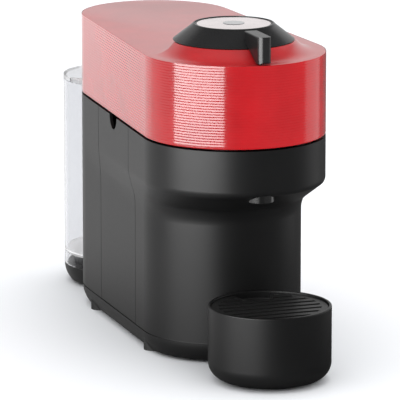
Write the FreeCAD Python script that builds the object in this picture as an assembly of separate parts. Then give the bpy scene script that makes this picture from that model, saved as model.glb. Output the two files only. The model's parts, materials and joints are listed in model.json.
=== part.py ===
import FreeCAD, Part
import math
import os

V = FreeCAD.Vector
UP = V(0, 0, 1)
ACROSS = V(1, 0, 0)
SIDES = (("left", -1), ("right", 1))

# Plan sizes in millimetres, taken from the lever's upright axis; the front faces -Y
head_front_radius = 68.0
head_rear_radius = 57.7
head_span = 175.2
column_radius = 60.2
column_setback = 28.1
cup_radius = 45.0
cup_reach = 77.8
tank_radius = 47.7
tank_setback = 80.3
bin_setback = 49.7
bin_length = 86.6
spout_inset = 10.2

# Heights, stacked from the table upwards
foot_height = 2.0
base_height = 13.3
seam_height = 0.8
body_height = 150.9
head_gap = 1.4
head_height = 61.0
collar_height = 8.2
knob_height = 12.0

# Clearances
running_fit = 0.05
turning_gap = 0.4
slide_gap = 0.3
panel_gap = 0.6
tank_gap = 1.5
plate_fit = 0.2

# Base
base_round = 20.0
base_steps = 4
base_wall = 2.5
base_floor = 2.5
seam_inset = 0.8
deck_plug = 2.2
foot_radius = 7.0
foot_tall = 9.0
foot_inset = 8.4
foot_front = 33.0
foot_rear = 167.0
pedestal_inset = 8.0
pedestal_height = 9.0
screw_radius = 1.6
screw_head_radius = 3.2
screw_head_height = 2.4
screw_recess = 3.0
screw_boss = 5.0
screw_x = 32.0
screw_first = 20.0
screw_pitch = 72.0
screw_rows = 3
gland_radius = 3.6
gland_flange = 5.0
gland_flange_length = 2.3
gland_stand_out = 3.0
gland_length = 9.5
gland_recess = 2.0
gland_lip = 1.2
gland_forward = 30.0

# Body shells
body_wall = 2.8
overhang_height = 33.4
overhang_round = 5.0
throat_height = 19.5
throat_round = 15.0
throat_steps = 5
throat_lift = 2.0
deck_drop = 6.5
deck_thick = 2.5
ledge_width = 2.5
ledge_height = 6.0
bin_wall = 2.4
notch_radius = 10.0

# Brewing pieces under the deck
collector_radius = 42.0
collector_wall = 2.0
collector_depth = 16.5
collector_flange = 46.0
flange_thick = 1.8
trough_inner_radius = 34.5
duct_width = 16.0
duct_height = 6.0
duct_end = 6.5
spout_radius = 9.8
spout_neck = 6.0
spout_drop = 5.4
outlet_radius = 1.7
outlet_spacing = 6.0
holder_drop = 1.2
holder_flange_radius = 38.2
holder_flange_thick = 2.0
holder_radius = 32.0
holder_foot_radius = 25.0
holder_wall = 2.5
holder_depth = 35.0
holder_hub_radius = 9.0
holder_hub_length = 8.0
shaft_radius = 4.0
bearing_radius = 8.0
bearing_height = 7.0
bracket_radius = 27.5
bracket_wall = 2.3
bracket_plate = 3.0
bracket_boss = 11.0
bracket_foot = 9.0
leg_gap = 26.0
motor_radius = 25.0
motor_length = 54.0
motor_wall = 1.5
rotor_radius = 21.0
rotor_end_gap = 4.0

# Head
rib_count = 30
rib_depth = 0.3
rib_land = 0.2
head_wall = 2.6
collar_radius = 45.6
collar_lean = 7.4
collar_round = 20.0
collar_plate = 2.8
chassis_rise = 1.0
chassis_thick = 2.4
post_radius = 4.0
post_x = 38.0
post_first = 72.0
post_pitch = 76.0
post_hole = 12.0
brew_body_radius = 35.5
brew_body_wall = 2.0
brew_body_flange = 40.0
brew_body_flange_thick = 2.4
brew_body_height = 18.0
brew_body_drop = 8.3
stem_radius = 5.0
head_bearing_radius = 10.0
head_bearing_height = 10.0
switch_post_radius = 8.0
plate_radius = 32.5
plate_thick = 4.0
plate_gap = 1.1
seal_inner_radius = 28.0
seal_outer_radius = 31.5
seal_thick = 0.7
needle_radius = 1.2
needle_length = 5.0
needle_circle = 22.0
needle_count = 6

# Rear hinge of the head
hinge_inset = 8.0
hinge_rise = 5.6
hinge_pin_radius = 2.0
knuckle_radius = 3.2
knuckle_half = 7.0
knuckle_gap = 0.5
lug_width = 5.5
hinge_relief = 0.7
bracket_base_half = 15.0
bracket_base_length = 20.0
bracket_base_thick = 2.6
hinge_slot_rise = 8.0

# Lever, light guide and button
knob_radius = 44.7
knob_rim_radius = 29.7
knob_bevel = 1.4
knob_web = 1.6
hub_radius = 20.0
hub_wall = 4.0
bush_wall = 2.5
bush_flange = 2.5
bush_length = 11.0
lever_width = 10.2
lever_start = 36.5
lever_tip = 68.0
lever_tip_height = 19.4
lever_heel = 61.2
lever_root = 43.5
lever_root_height = 10.4
lever_round = 2.2
lever_nose = 1.2
lever_corner = 4.4
lever_edge = 0.8
lock_radius = 44.0
lock_wall = 2.0
lock_height = 26.6
lock_plate = 3.0
lug_reach = 4.0
lug_height = 4.0
lug_angle = 24.0
lug_count = 3
guide_radius = 28.2
guide_rim = 0.6
guide_web = 1.6
guide_tube_radius = 11.0
switch_pocket_radius = 6.2
switch_pocket_height = 4.0
board_drop = 10.0
board_thick = 1.6
board_radius = 11.5
switch_size = 6.0
switch_height = 2.8
button_travel = 1.5
button_thick = 3.2
button_sink = 0.3
button_dome = 0.2
badge_radius = 8.0
badge_thick = 0.3
spring_radius = 8.0
spring_wire = 0.5

# Tank
tank_wall = 2.0
tank_floor = 2.6
tank_height = 149.3
horn_radius = 9.0
least_round = 1.5
lid_thick = 3.0
lid_hinge_forward = 10.2
lid_pin_radius = 1.0
lid_ear = 4.0
lid_ear_rear = 1.6
lid_notch = 2.6
lid_pin_depth = 5.0
valve_back = 6.0
valve_radius = 6.2
valve_flange = 11.0
valve_flange_thick = 2.0
valve_reach = 8.6
seal_groove = 1.0
seal_height = 2.0
socket_wall = 2.4
socket_flange = 3.0
socket_depth = 12.3
socket_floor = 2.5
spigot_radius = 4.0
spigot_reach = 13.0

# Water path in the rear housing
hose_radius = 2.5
hose_bore = 1.5
hose_low = 6.5
hose_bend = 5.0
wide_bend = 8.0
meter_radius = 13.0
meter_height = 13.0
meter_cap = 2.0
pump_x = 26.0
pump_back = 40.0
pump_low = 34.0
pump_spigot = 6.0
pump_tube_radius = 9.0
pump_tube_length = 13.0
pump_coil = 36.0
pump_coil_height = 38.0
mount_radius = 13.5
mount_height = 6.0
mount_leg = 4.0
heater_width = 38.0
heater_depth = 40.0
heater_height = 74.0
heater_fin = 2.0
heater_fins = 7
hose_arch = 12.0
board_width = 52.0
board_tall = 50.0
board_standoff = 6.0
board_low = 75.0
standoff_radius = 2.5
standoff_inset = 5.0
coil_box = 16.0
capacitor_radius = 5.0
capacitor_height = 18.0

# Cup support
cup_height = 54.6
cup_lift = 1.0
cup_wall = 2.4
cup_floor = 2.5
cup_round = 13.0
cup_lip = 0.9
cup_ring_inner = 24.0
cup_ring_outer = 31.0
tray_wall = 1.8
grid_recess = 1.5
grid_thick = 3.0
slot_count = 8
slot_pitch = 9.6
slot_width = 4.0
slot_end_radius = 37.5
lift_front = 22.7
lift_front_half = 8.7
lift_rear_half = 16.8
lift_margin = 1.8
tongue_half = 14.0
tongue_thick = 3.0
tongue_rise = 0.7
tongue_reach = 12.0

# Places worked out from the sizes above
lever_y = (cup_reach + cup_radius - head_span - tank_setback - tank_radius) / 2
cup_y = lever_y - cup_reach
spout_y = lever_y - head_front_radius + spout_inset
column_y = lever_y + column_setback
head_rear_y = lever_y + head_span
tank_y = head_rear_y + tank_setback
front_seam_y = lever_y + bin_setback
rear_seam_y = front_seam_y + bin_length
front_wall_y = front_seam_y - panel_gap / 2
rear_wall_y = rear_seam_y + panel_gap / 2
rear_room_y = rear_wall_y + body_wall
base_top_z = foot_height + base_height
base_room_z = foot_height + base_floor
deck_under_z = base_top_z - deck_plug
housing_z = base_top_z + seam_height
body_top_z = housing_z + body_height
overhang_z = body_top_z - overhang_height
throat_reach = column_setback + head_front_radius - column_radius
throat_lean = math.atan(throat_reach / throat_height)
throat_top_z = overhang_z + overhang_round * math.tan(throat_lean / 2)
throat_low_z = overhang_z - throat_height - throat_round * math.tan(throat_lean / 2)
deck_top_z = body_top_z - deck_drop
ledge_z = deck_top_z - deck_thick
head_bottom_z = body_top_z + head_gap
head_top_z = head_bottom_z + head_height
collar_top_z = head_top_z + collar_height
knob_z = collar_top_z + turning_gap
knob_top_z = knob_z + knob_height
chassis_z = head_bottom_z + chassis_rise
chassis_top_z = chassis_z + chassis_thick
hinge_y = head_rear_y + head_rear_radius - hinge_inset
hinge_z = head_bottom_z + hinge_rise
holder_top_z = deck_top_z - holder_drop
holder_low_z = holder_top_z - holder_depth
bracket_top_z = holder_low_z - holder_hub_length - turning_gap
motor_top_z = bracket_top_z - bearing_height - bracket_plate
motor_low_z = motor_top_z - motor_length
plate_z = holder_top_z + plate_gap
plate_top_z = plate_z + plate_thick
brew_top_z = chassis_top_z + brew_body_height
lock_top_z = chassis_top_z + lock_height
board_z = knob_z - board_drop
guide_z = knob_z + knob_web + turning_gap
pedestal_top_z = base_top_z + pedestal_height
tank_z = base_top_z + turning_gap
tank_floor_z = pedestal_top_z + slide_gap
tank_room_z = tank_floor_z + tank_floor
tank_top_z = tank_z + tank_height
lid_hinge_y = tank_y - lid_hinge_forward
valve_y = tank_y + valve_back
pump_y = rear_wall_y + pump_back
meter_y = pump_y + heater_depth / 2 + turning_gap + meter_radius
pump_z = housing_z + pump_low
cup_top_z = cup_lift + cup_height
grid_top_z = cup_top_z - grid_recess
hose_z = foot_height + hose_low
far = 2 * (head_span + tank_setback)


def disc(radius, low, high, y=0.0, x=0.0):
    """Upright cylinder between two heights."""
    return Part.makeCylinder(radius, high - low, V(x, y, low))


def ring(outer, inner, low, high, y=0.0, x=0.0):
    """Upright tube between two heights."""
    return disc(outer, low, high, y, x).cut(disc(inner, low, high, y, x))


def rod(radius, left, right, y, z):
    """Cylinder lying across the machine."""
    return Part.makeCylinder(radius, right - left, V(left, y, z), ACROSS)


def block(x, y, z):
    """Box from three (low, high) pairs."""
    sizes = [high - low for low, high in (x, y, z)]
    return Part.makeBox(*sizes, V(x[0], y[0], z[0]))


def join(pieces):
    """One solid from pieces that meet."""
    return pieces[0].multiFuse(pieces[1:]).removeSplitter()


def slab(low_y, high_y):
    """Space between two upright planes across the machine."""
    return block((-far, far), (low_y, high_y), (-far, far))


def mirrored(shape):
    """The piece together with its twin on the other side."""
    return [shape, shape.mirror(V(0, 0, 0), ACROSS)]


def prism(wire, height):
    """Upright solid on a flat outline."""
    return Part.Face(wire).extrude(V(0, 0, height))


def corner_arc(here, back, ahead, radius):
    """Start, middle and end of the arc that rounds one corner."""
    to_back = (back - here).normalize()
    to_ahead = (ahead - here).normalize()
    half = to_back.getAngle(to_ahead) / 2
    reach = radius / math.tan(half)
    inward = (to_back + to_ahead).normalize()
    middle = here + inward * (radius / math.sin(half) - radius)
    return here + to_back * reach, middle, here + to_ahead * reach


def rounded_face(corners, place):
    """Face through (a, b) or (a, b, radius) corners; place turns V(a, b) into a point in space."""
    points = [V(corner[0], corner[1], 0) for corner in corners]
    spans = []
    for index, corner in enumerate(corners):
        here = points[index]
        if len(corner) < 3:
            spans.append((here, None, here))
            continue
        ahead = points[(index + 1) % len(points)]
        spans.append(corner_arc(here, points[index - 1], ahead, corner[2]))
    edges = []
    for index, (start, middle, end) in enumerate(spans):
        if middle is not None:
            edges.append(Part.Arc(place(start), place(middle), place(end)).toShape())
        leads_to = spans[(index + 1) % len(spans)][0]
        if (leads_to - end).Length > 1e-6:
            edges.append(Part.makeLine(place(end), place(leads_to)))
    return Part.Face(Part.Wire(edges))


def turned(corners, y=0.0, x=0.0):
    """Solid of revolution about an upright axis, from (radius, height) corners."""
    face = rounded_face(corners, lambda point: V(point.x, 0, point.y))
    solid = face.revolve(V(0, 0, 0), UP, 360)
    solid.translate(V(x, y, 0))
    return solid


def side_cut(corners, left, right):
    """Solid across the machine, from (y, height) corners."""
    face = rounded_face(corners, lambda point: V(left, point.x, point.y))
    return face.extrude(V(right - left, 0, 0))


def outline(front_y, front_radius, rear_y, rear_radius, z):
    """Two arcs, front and rear, joined by the straight lines that touch both."""
    lean = math.asin((front_radius - rear_radius) / (rear_y - front_y))
    across, along = math.cos(lean), math.sin(lean)
    front = V(front_radius * across, front_y + front_radius * along, z)
    rear = V(rear_radius * across, rear_y + rear_radius * along, z)
    other_front = V(-front.x, front.y, z)
    other_rear = V(-rear.x, rear.y, z)
    edges = [
        Part.makeLine(front, rear),
        Part.Arc(rear, V(0, rear_y + rear_radius, z), other_rear).toShape(),
        Part.makeLine(other_rear, other_front),
        Part.Arc(other_front, V(0, front_y - front_radius, z), front).toShape(),
    ]
    return Part.Wire(edges)


def body_outline(share, inset, z):
    """Outline between the head's (share 0) and the column's (share 1), drawn in by inset."""
    front_y = lever_y + share * column_setback
    front_radius = head_front_radius + share * (column_radius - head_front_radius)
    return outline(front_y, front_radius - inset, head_rear_y, head_rear_radius - inset, z)


def half_width(y):
    """Half of the column's width at a place between its two arcs."""
    lean = math.asin((column_radius - head_rear_radius) / (head_rear_y - column_y))
    return (column_radius - (y - column_y) * math.sin(lean)) / math.cos(lean)


def throat_drops():
    """How far below the throat's top its rounded edge, its slope and its hollow end."""
    total = throat_top_z - throat_low_z
    return overhang_round * math.sin(throat_lean), total - throat_round * math.sin(throat_lean), total


def throat_share(drop):
    """How far the wall has moved from the overhang to the column, this far down the throat."""
    edge, slope, total = throat_drops()
    if drop <= edge:
        moved = overhang_round - math.sqrt(overhang_round ** 2 - drop ** 2)
    elif drop <= slope:
        moved = overhang_round * (1 - math.cos(throat_lean)) + (drop - edge) * math.tan(throat_lean)
    else:
        moved = throat_reach - throat_round + math.sqrt(throat_round ** 2 - (total - drop) ** 2)
    return moved / throat_reach


def throat(inset, top):
    """Rounded edge, slope and hollow that lead from the overhang to the column."""
    spans = []
    start = 0.0
    for end, steps in zip(throat_drops(), (throat_steps, 1, throat_steps)):
        drops = [start + (end - start) * step / steps for step in range(steps + 1)]
        wires = [body_outline(throat_share(drop), inset, top - drop) for drop in drops]
        spans.append(Part.makeLoft(wires, True))
        start = end
    return spans


def body_form(inset, low, high, lift=0.0):
    """The whole body as one solid, drawn in by inset, with its throat raised by lift."""
    throat_top, throat_low = throat_top_z + lift, throat_low_z + lift
    upper = prism(body_outline(0, inset, throat_top), high - throat_top)
    column = prism(body_outline(1, inset, low), throat_low - low)
    return join([upper] + throat(inset, throat_top) + [column])


def base_inset(z):
    """How far the base's rounded edge has come in at a height."""
    return base_round - math.sqrt(base_round ** 2 - (base_top_z - z) ** 2)


def base_heights(low, high):
    """Heights of the sections through the base."""
    return [low + (high - low) * step / base_steps for step in range(base_steps + 1)]


def base_form(inset, low, high):
    """Base under the body as one solid, drawn in by inset."""
    return Part.makeLoft([body_outline(1, inset + base_inset(z), z) for z in base_heights(low, high)], True)


def platform_form(inset, low, high):
    """Base under the tank as one solid, drawn in by inset."""
    wires = []
    for z in base_heights(low, high):
        circle = Part.makeCircle(tank_radius - inset - base_inset(z), V(0, tank_y, z))
        wires.append(Part.Wire(circle))
    return Part.makeLoft(wires, True)


def crescent(inset, z):
    """Tank outline: a circle bitten by the body's rear arc, with rounded horns, drawn in by inset."""
    outer = tank_radius - inset
    bite = head_rear_radius + tank_gap + inset
    horn = max(horn_radius - inset, least_round)
    from_tank, from_body = outer - horn, bite + horn
    along = (from_body ** 2 - from_tank ** 2 + tank_setback ** 2) / (2 * tank_setback)
    tank_centre = V(0, tank_y, z)
    body_centre = V(0, head_rear_y, z)
    centre = V(math.sqrt(from_body ** 2 - along ** 2), head_rear_y + along, z)
    outward = (centre - tank_centre).normalize()
    inward = (body_centre - centre).normalize()
    rear = tank_centre + outward * outer
    front = centre + inward * horn
    tip = centre + (outward + inward).normalize() * horn
    other = [V(-point.x, point.y, z) for point in (rear, tip, front)]
    edges = [
        Part.Arc(rear, V(0, tank_y + outer, z), other[0]).toShape(),
        Part.Arc(*other).toShape(),
        Part.Arc(other[2], V(0, head_rear_y + bite, z), front).toShape(),
        Part.Arc(front, tip, rear).toShape(),
    ]
    return Part.Wire(edges)


def pipe(points, radius, bend):
    """Round bar along straight runs with a rounded bend at each corner."""
    edges = []
    start = points[0]
    for before, here, after in zip(points, points[1:], points[2:]):
        enter, middle, leave = corner_arc(here, before, after, bend)
        edges.append(Part.makeLine(start, enter))
        edges.append(Part.Arc(enter, middle, leave).toShape())
        start = leave
    edges.append(Part.makeLine(start, points[-1]))
    section = Part.Wire(Part.makeCircle(radius, points[0], points[1] - points[0]))
    return Part.Wire(edges).makePipeShell([section], True, False)


def hose(points, bend):
    """Hose with its bore."""
    return pipe(points, hose_radius, bend).cut(pipe(points, hose_bore, bend))


def screw_places():
    """Plan places of the base screws."""
    rows = [lever_y + screw_first + screw_pitch * row for row in range(screw_rows)]
    return [(side * screw_x, y) for _, side in SIDES for y in rows]


def post_places():
    """Plan places of the posts that hold the head's chassis."""
    return [(side * post_x, lever_y + post_first + post_pitch * row) for _, side in SIDES for row in range(2)]


def tongue(gap):
    """Tongue that docks the cup support in the base, grown by gap."""
    low = base_room_z + tongue_rise
    rear = column_y - column_radius + tongue_reach
    width = (-tongue_half - gap, tongue_half + gap)
    length = (cup_y + cup_radius - cup_round / 2, rear + gap)
    return block(width, length, (low - gap, low + tongue_thick + gap))


def gland_place():
    """Where the cord gland's axis crosses the base's side."""
    y = head_rear_y - gland_forward
    return half_width(y), y, hose_z


def base_pan():
    """Base with the tank's platform and pedestal."""
    top = base_top_z + seam_height
    pan = base_form(0, foot_height, base_top_z).fuse(platform_form(0, foot_height, base_top_z))
    pedestal = prism(crescent(pedestal_inset, base_top_z - base_wall), pedestal_height + base_wall)
    pan = pan.fuse(pedestal)
    pan = pan.cut(base_form(base_wall, base_room_z, top))
    pan = pan.cut(platform_form(base_wall, base_room_z, base_top_z - base_wall))
    hollow = crescent(pedestal_inset + base_wall, base_room_z)
    pan = pan.cut(prism(hollow, pedestal_top_z - base_wall - base_room_z))
    for x, y in screw_places():
        pan = pan.fuse(disc(screw_boss, base_room_z - base_floor / 2, deck_under_z, y, x))
        pan = pan.cut(disc(screw_head_radius + plate_fit, 0, foot_height + screw_recess, y, x))
        pan = pan.cut(disc(screw_radius + running_fit, 0, base_top_z, y, x))
    x, y, z = gland_place()
    pan = pan.cut(rod(gland_radius + running_fit, x - gland_length, x + gland_stand_out, y, z))
    pan = pan.cut(tongue(slide_gap))
    socket_hole = valve_radius + slide_gap + socket_wall + running_fit
    return pan.cut(disc(socket_hole, base_room_z, pedestal_top_z + 1, valve_y)).removeSplitter()


def feet():
    """Four rubber feet, cut to the base's rounded edge."""
    made = {}
    for place, along in (("front", foot_front), ("rear", foot_rear)):
        y = lever_y + along
        for name, side in SIDES:
            post = disc(foot_radius, 0, foot_tall, y, side * (half_width(y) - foot_inset))
            made["foot_%s_%s" % (place, name)] = post.cut(base_form(0, foot_height, base_top_z))
    return made


def base_deck():
    """Plate that closes the base; its lip makes the shadow line under the housings."""
    plug = prism(body_outline(1, base_wall + slide_gap, deck_under_z), deck_plug)
    lip = prism(body_outline(1, seam_inset, base_top_z), seam_height)
    deck = join([plug, lip])
    for x, y in screw_places():
        deck = deck.cut(disc(screw_radius + running_fit, deck_under_z - 1, base_top_z, y, x))
    return deck.cut(disc(hose_radius + plate_fit, deck_under_z - 1, housing_z + 1, meter_y))


def base_screws():
    """Screws that hold the deck to the base."""
    made = []
    for x, y in screw_places():
        seat = foot_height + screw_recess
        head = disc(screw_head_radius, seat - screw_head_height, seat, y, x)
        made.append(head.fuse(disc(screw_radius, seat, base_top_z - plate_fit, y, x)).removeSplitter())
    return Part.Compound(made)


def cord_gland():
    """Closed gland for a supply lead in the base's side."""
    x, y, z = gland_place()
    out = x + gland_stand_out
    gland = rod(gland_radius, out - gland_length, out, y, z)
    gland = gland.fuse(rod(gland_flange, out - gland_flange_length, out, y, z))
    return gland.cut(rod(gland_radius - gland_lip, out - gland_recess, out, y, z)).removeSplitter()


def housing(low_y, high_y, front_wall, rear_wall):
    """Hollow body shell between two upright planes, with a ledge for its deck."""
    shell = body_form(0, housing_z, body_top_z).common(slab(low_y, high_y))
    room = slab(low_y + front_wall, high_y - rear_wall)
    ledge_low = ledge_z - ledge_height
    spaces = [
        body_form(body_wall, housing_z - 1, ledge_low, throat_lift),
        prism(body_outline(0, body_wall + ledge_width, ledge_low), ledge_height),
        prism(body_outline(0, body_wall, ledge_z), body_top_z - ledge_z + 1),
    ]
    for space in spaces:
        shell = shell.cut(space.common(room))
    return shell


def front_housing():
    """Column and overhang, with the opening for the spout's neck."""
    shell = housing(lever_y - far / 2, front_wall_y, 0, body_wall)
    neck = disc(spout_neck + plate_fit, throat_low_z, ledge_z - ledge_height, spout_y)
    return shell.cut(neck).removeSplitter()


def rear_housing():
    """Body shell over the pump and heater, hollowed under the head's hinge."""
    shell = housing(rear_wall_y, head_rear_y + far / 2, body_wall, 0)
    sweep = math.hypot(hinge_inset, hinge_rise) + hinge_relief
    return shell.cut(rod(sweep, -far, far, hinge_y, hinge_z)).removeSplitter()


def deck_plate(low_y, high_y):
    """Plate that drops into a housing's top, onto its ledge."""
    plate = prism(body_outline(0, body_wall + plate_fit, ledge_z), deck_thick)
    return plate.common(slab(low_y, high_y))


def brew_deck():
    """Deck round the brewing chamber."""
    deck = deck_plate(lever_y - far / 2, front_wall_y - body_wall - plate_fit)
    return deck.cut(disc(collector_radius + plate_fit, ledge_z - 1, body_top_z, lever_y))


def rear_deck():
    """Deck that carries the head's hinge."""
    return deck_plate(rear_room_y + plate_fit, head_rear_y + far / 2)


def coffee_collector():
    """Ring-shaped trough round the capsule holder, with a duct to the spout."""
    low = deck_top_z - collector_depth
    inside = collector_radius - collector_wall
    inner_wall = trough_inner_radius + collector_wall
    trough_top = holder_top_z - holder_flange_thick - turning_gap
    trough = turned([
        (trough_inner_radius, low), (collector_radius, low), (collector_radius, deck_top_z),
        (collector_flange, deck_top_z), (collector_flange, deck_top_z + flange_thick),
        (inside, deck_top_z + flange_thick), (inside, low + collector_wall),
        (inner_wall, low + collector_wall), (inner_wall, trough_top), (trough_inner_radius, trough_top),
    ], lever_y)
    half = duct_width / 2
    inlet_y = lever_y - collector_radius + collector_wall / 2
    duct = block((-half, half), (spout_y - duct_end, inlet_y), (low, low + duct_height))
    channel = block(
        (collector_wall - half, half - collector_wall),
        (spout_y - duct_end + collector_wall, inlet_y + collector_wall),
        (low + collector_wall, low + duct_height - collector_wall / 2))
    duct = duct.cut(disc(collector_radius - collector_wall / 2, low, low + duct_height, lever_y))
    body = trough.fuse(duct).cut(channel)
    for side in (-1, 1):
        outlet = disc(outlet_radius, low - 1, low + collector_wall + 1, spout_y, side * outlet_spacing / 2)
        body = body.cut(outlet)
    return body.removeSplitter()


def coffee_spout():
    """Outlet nozzle that follows the overhang's underside, on a neck up to the duct."""
    low = overhang_z - spout_drop
    nozzle = disc(spout_radius, low, overhang_z, spout_y)
    nozzle = nozzle.cut(body_form(-running_fit, housing_z, body_top_z))
    neck_top = deck_top_z - collector_depth
    spout = nozzle.fuse(disc(spout_neck, low + collector_wall, neck_top, spout_y))
    for side in (-1, 1):
        spout = spout.cut(disc(outlet_radius, low - 1, neck_top + 1, spout_y, side * outlet_spacing / 2))
    return spout.removeSplitter()


def capsule_holder():
    """Spinning cup that takes a capsule, with its flange and hub."""
    low, top = holder_low_z, holder_top_z
    hub_low = low - holder_hub_length
    inner, inner_foot = holder_radius - holder_wall, holder_foot_radius - holder_wall
    bore_top = low - holder_wall
    return turned([
        (shaft_radius, hub_low), (holder_hub_radius, hub_low), (holder_hub_radius, low),
        (holder_foot_radius, low, holder_wall * 2), (holder_radius, top - holder_flange_thick),
        (holder_flange_radius, top - holder_flange_thick), (holder_flange_radius, top),
        (inner, top), (inner_foot, low + holder_wall, holder_wall), (0, low + holder_wall),
        (0, bore_top), (shaft_radius, bore_top),
    ], lever_y)


def drive_shaft():
    """Shaft from the motor up into the holder's hub."""
    return disc(shaft_radius, motor_low_z - bracket_plate, holder_low_z - holder_wall, lever_y)


def motor_bracket():
    """Tube on four legs that stands on the deck and holds the motor and the upper bearing."""
    plate_low = motor_top_z
    plate_top = plate_low + bracket_plate
    inner = bracket_radius - bracket_wall
    tube = ring(bracket_radius, inner, housing_z, plate_low, lever_y)
    half = leg_gap / 2
    window_z = (housing_z + bracket_foot, motor_low_z - bracket_plate)
    reach = bracket_radius + 1
    tube = tube.cut(block((-half, half), (lever_y - reach, lever_y + reach), window_z))
    tube = tube.cut(block((-reach, reach), (lever_y - half, lever_y + half), window_z))
    plate = ring(bracket_radius, bearing_radius, plate_low, plate_top, lever_y)
    boss = ring(bracket_boss, bearing_radius, plate_top, bracket_top_z, lever_y)
    return join([tube, plate, boss])


def motor_can():
    """Motor casing with a seat for the lower bearing."""
    low, top = motor_low_z, motor_top_z
    seat = bearing_radius + motor_wall
    inner = motor_radius - motor_wall
    return turned([
        (bearing_radius, low), (motor_radius, low, motor_wall), (motor_radius, top),
        (bearing_radius, top), (bearing_radius, top - motor_wall), (inner, top - motor_wall),
        (inner, low + motor_wall), (seat, low + motor_wall), (seat, low + bearing_height),
        (bearing_radius, low + bearing_height),
    ], lever_y)


def motor_rotor():
    """Rotor pressed on the shaft."""
    low = motor_low_z + bearing_height + rotor_end_gap
    return ring(rotor_radius, shaft_radius, low, motor_top_z - rotor_end_gap, lever_y)


def bearing(outer, shaft, low, height):
    """Plain ring bearing on the lever's axis."""
    return ring(outer, shaft + running_fit, low, low + height, lever_y)


def ribbed_wall():
    """Head as one solid with fine ribs all round."""
    pitch = head_height / rib_count
    wires = []
    for rib in range(rib_count):
        low = head_bottom_z + rib * pitch
        for share, inset in ((0, rib_depth), (rib_land, 0), (1 - rib_land, 0)):
            wires.append(body_outline(0, inset, low + share * pitch))
    wires.append(body_outline(0, rib_depth, head_top_z))
    return Part.makeLoft(wires, True, True)


def head_shell():
    """Ribbed shell with the raised collar that the lever turns on."""
    wall = head_wall + rib_depth
    shell = ribbed_wall()
    sink = head_wall / 2
    foot = collar_radius + collar_lean
    slope = math.atan2(collar_height + running_fit, collar_lean)
    outer = foot + collar_round * math.tan(slope / 2) + collar_plate / 2
    collar = turned([
        (0, head_top_z - sink), (outer, head_top_z - sink), (outer, head_top_z - running_fit),
        (foot, head_top_z - running_fit, collar_round), (collar_radius, collar_top_z), (0, collar_top_z),
    ], lever_y)
    within = prism(body_outline(0, rib_depth, head_top_z - sink), collar_height + sink)
    shell = shell.fuse(collar.common(within))
    shell = shell.cut(prism(body_outline(0, wall, head_bottom_z - 1), head_height + 1 - head_wall))
    room_radius, room_z = collar_radius - collar_plate, head_top_z - head_wall - 1
    shell = shell.cut(disc(room_radius, room_z, collar_top_z - collar_plate, lever_y))
    for x, y in post_places():
        post = disc(post_radius, chassis_top_z, head_top_z - sink, y, x)
        hole = disc(screw_radius + running_fit, chassis_z, chassis_top_z + post_hole, y, x)
        shell = shell.fuse(post.cut(hole))
    shell = shell.cut(disc(hub_radius + bush_wall, head_bottom_z, collar_top_z + 1, lever_y))
    half = knuckle_half + knuckle_gap + lug_width / 2
    slot = block((-half, half), (hinge_y, hinge_y + far), (head_bottom_z - 1, hinge_z + hinge_slot_rise))
    return shell.cut(slot).removeSplitter()


def head_chassis():
    """Plate that closes the head's underside and carries the hinge lugs."""
    inset = head_wall + rib_depth + plate_fit
    plate = prism(body_outline(0, inset, chassis_z), chassis_thick)
    plate = plate.cut(disc(brew_body_radius + plate_fit, chassis_z - 1, chassis_top_z + 1, lever_y))
    clear = knuckle_half + knuckle_gap
    foot_y = hinge_y - hinge_inset
    plate = plate.cut(block((-clear, clear), (foot_y, hinge_y + far), (chassis_z - 1, hinge_z)))
    lug = side_cut([
        (foot_y, chassis_z), (hinge_y + knuckle_radius, chassis_z),
        (hinge_y + knuckle_radius, hinge_z + knuckle_radius, knuckle_radius * 0.9),
        (hinge_y - knuckle_radius, hinge_z + knuckle_radius, knuckle_radius * 0.9), (foot_y, chassis_top_z),
    ], clear, clear + lug_width)
    chassis = join([plate] + mirrored(lug))
    chassis = chassis.cut(rod(hinge_pin_radius, -far, far, hinge_y, hinge_z))
    for x, y in post_places():
        chassis = chassis.cut(disc(screw_radius + running_fit, chassis_z - 1, chassis_top_z + 1, y, x))
        seat = chassis_z + chassis_thick / 2
        chassis = chassis.cut(disc(screw_head_radius + plate_fit, chassis_z - 1, seat, y, x))
    return chassis


def chassis_screws():
    """Screws that hold the chassis to the head's posts."""
    made = []
    for x, y in post_places():
        seat = chassis_z + chassis_thick / 2
        head = disc(screw_head_radius, chassis_z, seat, y, x)
        made.append(head.fuse(disc(screw_radius, seat, chassis_top_z + post_hole - 1, y, x)).removeSplitter())
    return Part.Compound(made)


def hinge_pin():
    """Pin held in the chassis lugs."""
    half = knuckle_half + knuckle_gap + lug_width
    return rod(hinge_pin_radius, -half, half, hinge_y, hinge_z)


def hinge_bracket():
    """Foot on the rear deck with the knuckle that the pin turns in."""
    top = deck_top_z + bracket_base_thick
    rear = hinge_y + knuckle_radius
    width = (-bracket_base_half, bracket_base_half)
    foot = block(width, (rear - bracket_base_length, rear), (deck_top_z, top))
    knuckle = side_cut([
        (hinge_y - knuckle_radius, deck_top_z), (rear, deck_top_z),
        (rear, hinge_z + knuckle_radius, knuckle_radius * 0.9),
        (hinge_y - knuckle_radius, hinge_z + knuckle_radius, knuckle_radius * 0.9),
    ], -knuckle_half, knuckle_half)
    return join([foot, knuckle]).cut(rod(hinge_pin_radius + running_fit, -far, far, hinge_y, hinge_z))


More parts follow.
